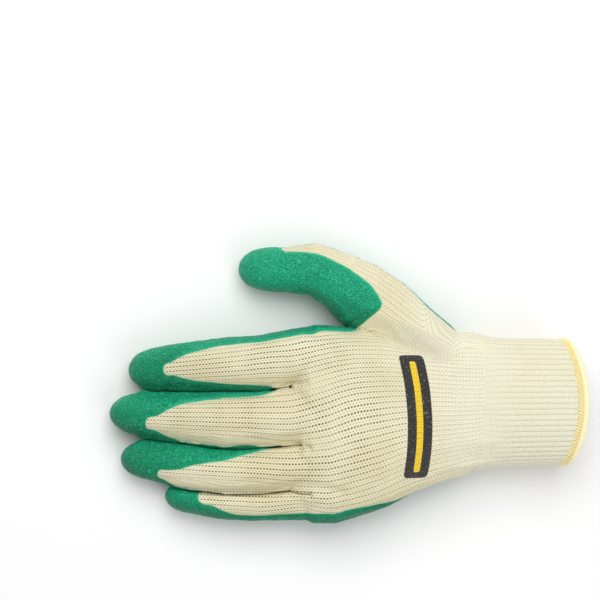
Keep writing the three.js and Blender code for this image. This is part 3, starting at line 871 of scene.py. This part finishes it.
def latex_material():
    material = new_material("green_latex")
    n = Nodes(material)
    cover, thick, side = n.attribute("cover_and_shade_side")
    winding = n.math("ABSOLUTE", n.math("SUBTRACT", n.noise(0.0015, 1.0, 1.0), 0.5))
    ridges = n.span(winding, 0.0, 0.12, 1.0, 0.0)
    grains = n.noise(0.0007, 1.0)
    coarse = n.noise(0.005, 2.0, 0.4)
    height = n.math("ADD", ridges, n.math("MULTIPLY", coarse, 0.9))
    height = n.math("ADD", height, n.math("MULTIPLY", grains, 0.6))
    height = n.math("MULTIPLY", height, n.span(thick, 0.0, 1.0, 0.3, 1.0))
    normal = n.bump(height, 0.0006, 1.0)
    tone = n.mix(n.span(n.noise(0.025, 2.0), 0.3, 0.7), LATEX_GREEN, LATEX_DEEP)
    # Painted shade on the sides turned away from the light, painted light on the sides facing it
    tone = n.mix(n.span(side, -0.2, 0.9, 0.0, 0.6), tone, LATEX_PAINTED_SHADE)
    tone = n.mix(n.span(side, -0.1, -0.9, 0.0, 0.4), tone, LATEX_PAINTED_LIGHT)
    # Painted light: lighter towards the thumb, which lies nearer the light
    tone = n.mix(n.span(n.parts(n.place())[1], 0.032, 0.05, 0.0, 0.55), tone, LATEX_PAINTED_LIGHT)
    # Painted highlight along the crinkle's ridges, stronger where the coat is thick
    tone = n.mix(n.math("MULTIPLY", ridges, n.math("MULTIPLY", thick, 0.45)), tone, LATEX_PAINTED_HIGHLIGHT)
    # Painted shade in the pits of the fine grain
    tone = n.mix(n.span(grains, 0.52, 0.3, 0.0, 0.45), tone, LATEX_PAINTED_SHADE)
    # Painted sheen: paler green where the surface turns away from the view
    facing = n.add("ShaderNodeLayerWeight")
    facing.inputs["Blend"].default_value = 0.35
    rim = n.span(facing.outputs["Facing"], 0.84, 1.0, 0.0, 0.5)
    tone = n.mix(rim, tone, LATEX_PAINTED_SHEEN)
    tone = n.mix(n.span(cover, 0.42, 0.56, 0.75, 0.0), tone, LATEX_THIN)
    roughness = n.span(n.noise(0.008, 2.0), 0.3, 0.7, 0.38, 0.5)
    n.surface(tone, roughness, normal, Specular_IOR_Level=0.25)
    return material


def cuff_material():
    material = new_material("rib_knit")
    n = Nodes(material)
    rib, along, depth = n.attribute("stitch")
    legs = loop_legs(n, rib, along)
    ridge = n.math("ABSOLUTE", n.math("SINE", n.math("MULTIPLY", rib, math.pi)))
    # Painted shade: darker in the furrows between the ribs, less where the ribs are shallower
    furrow = n.span(ridge, 0.42, 0.0)
    dashes = n.span(legs, -0.4, 0.6, 0.35, 1.0)
    dark = n.math("MULTIPLY", furrow, dashes)
    dark = n.math("MULTIPLY", dark, n.span(depth, 0.0, 1.0, 0.15, 0.8), clamp=True)
    cream = n.mix(n.span(n.noise(0.02, 3.0), 0.3, 0.7, 0.0, 0.5), CUFF_CREAM, KNIT_CREAM)
    color = n.mix(dark, cream, CUFF_FURROW_SHADE)
    # Painted shade in the troughs between the loops' legs
    color = n.mix(n.span(legs, 0.2, -1.0, 0.0, 0.16), color, KNIT_SHADE)
    normal = n.bump(legs, 0.00018, 0.8, fluff(n))
    n.surface(color, 0.93, normal, Sheen_Weight=0.25, Sheen_Roughness=0.6, Specular_IOR_Level=0.2)
    return material


def hem_material():
    material = new_material("hem_thread")
    n = Nodes(material)
    strands = n.noise(0.0007, 3.0, 0.3)
    tone, from_edge, thread = n.attribute("stitch")
    color = n.mix(n.span(n.noise(0.006, 2.0), 0.35, 0.7, 0.0, 0.4), HEM_PALE, HEM_YELLOW)
    # Painted shade on the band under the threads
    color = n.mix(n.span(from_edge, 2.6, 3.1), color, HEM_GAP_SHADE)
    shade = n.mix(tone, HEM_YELLOW, HEM_SHADE)
    color = n.mix(thread, color, shade)
    color = n.mix(n.span(strands, 0.5, 0.75, 0.0, 0.5), color, HEM_SHADE)
    normal = n.bump(strands, 0.0003, 0.7)
    n.surface(color, 0.85, normal, Sheen_Weight=0.2, Specular_IOR_Level=0.25)
    return material


def dressed(obj, material, slot, *nodes):
    obj.data.materials.clear()
    obj.data.materials.append(material)
    for polygon in obj.data.polygons:
        polygon.use_smooth = True
    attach(obj, "root")
    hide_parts(*nodes)


# The camera looks down on the back of the hand, from a little towards the fingertips
VIEW_MIDDLE = Vector((-0.025, 0.0433, 0.018))
VIEW_TILT = math.radians(8)
VIEW_DISTANCE = 1.0
VIEW_WIDTH = 0.3145

camera_data = bpy.data.cameras.new("camera")
camera = bpy.data.objects.new("camera", camera_data)
bpy.context.scene.collection.objects.link(camera)
bpy.context.scene.camera = camera
camera_data.lens = camera_data.sensor_width * VIEW_DISTANCE / VIEW_WIDTH
camera.location = VIEW_MIDDLE + VIEW_DISTANCE * Vector((-math.sin(VIEW_TILT), 0, math.cos(VIEW_TILT)))
camera.rotation_euler = (0, -VIEW_TILT, 0)


def cuff_oval(count):
    """Points evenly spaced round the cuff's section, as shares of its half sizes."""
    angles = np.linspace(0, 2 * math.pi, 2881)
    half = (np.array(CUFF_BOX[1]) - np.array(CUFF_BOX[0]))[1:] / 2
    power = 2 / 2.1
    across = np.sign(np.sin(angles)) * np.abs(np.sin(angles)) ** power
    up = -np.sign(np.cos(angles)) * np.abs(np.cos(angles)) ** power
    steps = np.hypot(np.diff(across * half[0]), np.diff(up * half[1]))
    lengths = np.concatenate([[0], np.cumsum(steps)])
    wanted = np.arange(count) / count * lengths[-1]
    return np.interp(wanted, lengths, across), np.interp(wanted, lengths, up)


def cuff_round():
    """Two functions for a place on the cuff's section, as shares of its half sizes."""
    count = 720
    across, up = cuff_oval(count)
    shares = np.arange(count + 1) / count
    across, up = np.append(across, across[0]), np.append(up, up[0])
    return lambda u: np.interp(u, shares, across), lambda u: np.interp(u, shares, up)


def cuff_place(share):
    """Middle and half sizes of the cuff's section at a share of its length from the hem."""
    middle = (CUFF_BOX[0] + CUFF_BOX[1]) / 2
    half_width = (CUFF_BOX[1].y - CUFF_BOX[0].y) / 2
    half_height = (CUFF_BOX[1].z - CUFF_BOX[0].z) / 2
    narrow = np.interp(share, (0, 0.25, 0.6, 1), (0.966, 0.972, 0.976, 1.0))
    lift = np.interp(share, (0, 0.25, 0.6, 1), (0.4, 0.1, 0, 0.2)) * MM
    return middle.y, middle.z + lift, half_width * narrow, half_height


def skin_reach(skin):
    """A function for how far the hand's end is from the cuff's middle line, in a direction."""
    tree = tree_of(shape_of(skin.data))
    middle_y, middle_z, _, _ = cuff_place(1)

    def reach(across, up):
        start = Vector((WRIST - 0.6 * MM, middle_y, middle_z))
        hit = tree.ray_cast(start, Vector((0, across, up)).normalized())
        return (hit[0] - start).length if hit[0] else None
    return reach


def mapped_grid(shape, columns, rows, place):
    """Adds a grid of faces to a mesh. place(u, v) gives a point and its stitch values."""
    layer = shape.verts.layers.float_vector.get("stitch")
    layer = layer or shape.verts.layers.float_vector.new("stitch")
    verts = bmesh.ops.create_grid(shape, x_segments=columns, y_segments=rows, size=1)["verts"]
    for vert in verts:
        point, stitch = place((vert.co.x + 1) / 2, (vert.co.y + 1) / 2)
        vert.co = point
        vert[layer] = stitch


def closed_up(name, shape):
    """Welds the seams of a mesh, turns its faces outward and makes it an object."""
    bmesh.ops.remove_doubles(shape, verts=shape.verts, dist=0.01 * MM)
    bmesh.ops.recalc_face_normals(shape, faces=shape.faces)
    return to_object(name, shape)


def ribbed_cuff(skin):
    """The ribbed tube from the hand's end to the hem, with a wall."""
    count = RIB_COUNT * RIB_POINTS
    across, up = cuff_oval(count)
    reach = skin_reach(skin)
    _, _, end_width, end_height = cuff_place(1)
    at_hand = []
    for a, u in zip(across, up):
        plain = math.hypot(a * end_width, u * end_height)
        at_hand.append((reach(a * end_width, u * end_height) or plain) / plain)
    start_x, end_x = CUFF_BOX[1].x, WRIST - CUFF_LAP

    def place(u, share):
        rib = u * RIB_COUNT
        k = round(u * count) % count
        middle_y, middle_z, half_width, half_height = cuff_place(share)
        fit = 1 + (at_hand[k] - 1) * smooth_step(0.72, 1.0, share)
        ridge = abs(math.sin(math.pi * rib)) ** 0.5 - 1
        relief = RIB_RELIEF * (1 - 0.85 * smooth_step(0.55, 1.0, share))
        lap = (0.12 * smooth_step(0.9, 1.0, share) - 0.5 * smooth_step(0.99, 1.0, share)) * MM
        y, z = across[k] * half_width * fit, up[k] * half_height * fit
        grow = 1 + (ridge * relief + lap) / math.hypot(y, z)
        x = start_x + (end_x - start_x) * share - HEM_BOW * across[k] ** 2 * (1 - share)
        # The third stitch value sets the strength of the painted shade in the furrows, which falls
        # towards the hand as the ribs flatten
        stitch = (rib, x / CUFF_COURSE, 1 - 0.7 * smooth_step(0.5, 1.0, share))
        return (x, middle_y + y * grow, middle_z + z * grow), stitch

    shape = bmesh.new()
    mapped_grid(shape, count, CUFF_RINGS, place)
    obj = closed_up("rib_cuff_knitted", shape)
    return with_wall(obj, KNIT_WALL)


HEM_ROUND = cuff_round()


def hem_point(u, from_edge, out):
    """A point of the hem: u is the share round the arm, the others are in mm."""
    middle = (HEM_BOX[0] + HEM_BOX[1]) / 2
    half_width = (HEM_BOX[1].y - HEM_BOX[0].y) / 2 - HEM_SWELL
    half_height = (HEM_BOX[1].z - HEM_BOX[0].z) / 2 - HEM_SWELL
    across = HEM_ROUND[0](u)
    up = HEM_ROUND[1](u)
    outward = Vector((0, across / half_width, up / half_height)).normalized()
    x = HEM_BOX[1].x - from_edge * MM - HEM_BOW * across ** 2
    return Vector((x, middle.y + across * half_width, middle.z + up * half_height)) + outward * out * MM


def overlocked_hem():
    """The end of the cuff: a rounded lip at the free edge, then a row of slanted threads."""
    shape = bmesh.new()
    section = HEM_SECTION + HEM_SECTION[:1]

    def band_place(u, v):
        from_edge, out = section[round(v * len(HEM_SECTION))]
        return hem_point(u, from_edge, out), (0.5, from_edge, 0.0)

    mapped_grid(shape, HEM_SIDES, len(HEM_SECTION), band_place)
    for number in range(HEM_THREADS):
        tone = random.random()
        pitch = 1 / HEM_THREADS

        def thread_place(turn, along, number=number, tone=tone, pitch=pitch):
            thick = THREAD_RADIUS * math.sin(math.pi * along) ** 0.4
            angle = turn * 2 * math.pi
            arch = 0.5 * math.sin(math.pi * along) ** 0.5 - 0.35
            u = (number - THREAD_SLANT * along + thick * 0.62 * math.cos(angle)) * pitch
            from_edge = THREAD_START + THREAD_SPAN * along
            point = hem_point(u % 1, from_edge, arch + thick * math.sin(angle))
            return point, (tone, along, 1.0)

        mapped_grid(shape, 6, 8, thread_place)
    return closed_up("cuff_hem_overlocked", shape)


def floor():
    shape = bmesh.new()
    bmesh.ops.create_grid(shape, x_segments=1, y_segments=1, size=3.0)
    obj = to_object("floor", shape)
    material = new_material("pale_floor")
    n = Nodes(material)
    n.surface((0.93, 0.93, 0.93, 1.0), 0.9, n.bump(n.noise(0.01), 0.0001, 0.05), Specular_IOR_Level=0.1)
    obj.data.materials.append(material)


def area_light(name, place, target, size, power):
    data = bpy.data.lights.new(name, "AREA")
    data.size = size
    data.energy = power
    light = bpy.data.objects.new(name, data)
    bpy.context.scene.collection.objects.link(light)
    light.location = place
    light.rotation_euler = (Vector(target) - Vector(place)).to_track_quat("-Z", "Y").to_euler()


random.seed(7)
skin = hand_skin(KNIT_GRID)
liner = knit_surface(skin, coated_share(skin, KNIT_GRID))
dressed(liner, knit_material(), "cream_knit", "knit_liner")
dressed(ribbed_cuff(skin), cuff_material(), "rib_knit", "rib_cuff")
dressed(overlocked_hem(), hem_material(), "hem_thread", "cuff_hem")
bpy.data.objects.remove(skin)
skin = hand_skin(LATEX_GRID)
coat = latex_surface(skin, coated_share(skin, LATEX_GRID))
dressed(coat, latex_material(), "green_latex", "latex_coating")
bpy.data.objects.remove(skin)

floor()
area_light("softbox", place=(-0.1, 0.55, 0.9), target=(0, 0, 0), size=0.9, power=8.5)
area_light("fill", place=(0.5, -0.7, 0.7), target=(0, 0, 0), size=0.9, power=3.2)
world = bpy.data.worlds.new("studio")
bpy.context.scene.world = world
world.use_nodes = True
background = world.node_tree.nodes["Background"]
background.inputs["Color"].default_value = (1, 1, 1, 1)
background.inputs["Strength"].default_value = 0.47
bpy.context.scene.view_settings.view_transform = "Standard"
